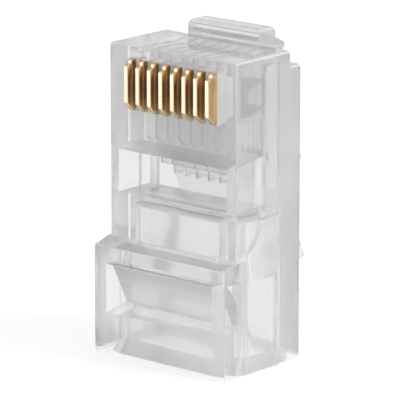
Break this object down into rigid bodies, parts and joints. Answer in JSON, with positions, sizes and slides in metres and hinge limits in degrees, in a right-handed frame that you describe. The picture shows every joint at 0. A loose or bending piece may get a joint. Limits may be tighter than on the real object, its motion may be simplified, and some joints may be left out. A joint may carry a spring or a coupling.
{
  "type": "modular plug",
  "caption": "Clear modular plug for round data cable, uncrimped, with gold-plated blade contacts, cable clamp tongue and a sprung locking lever.",
  "frame": {"origin": "middle of the cable end, on the face that the plug stands on", "axes": "+Z from the cable end to the nose, +X across the contacts, -Y out of the contact side, +Y out of the latch side"},
  "size_m": [0.0116, 0.0137, 0.0226],
  "materials": {
    "clear_housing": "clear moulded polycarbonate, polished",
    "clear_latch": "clear moulded polycarbonate, polished",
    "gold_contacts": "stamped bronze blades, gold-plated"
  },
  "bodies": {
    "housing": {"housing": "clear_housing", "contact_1": "gold_contacts", "contact_2": "gold_contacts", "contact_3": "gold_contacts", "contact_4": "gold_contacts", "contact_5": "gold_contacts", "contact_6": "gold_contacts", "contact_7": "gold_contacts", "contact_8": "gold_contacts"},
    "latch": {"latch": "clear_latch"}
  },
  "joints": [
    {"name": "latch_press", "type": "hinge", "parent": "housing", "child": "latch", "pos_m": [0, 0.0049, 0.02085], "axis": [-1, 0, 0], "range_deg": [0, 13], "stiffness_Nm_per_rad": 0.05}
  ]
}
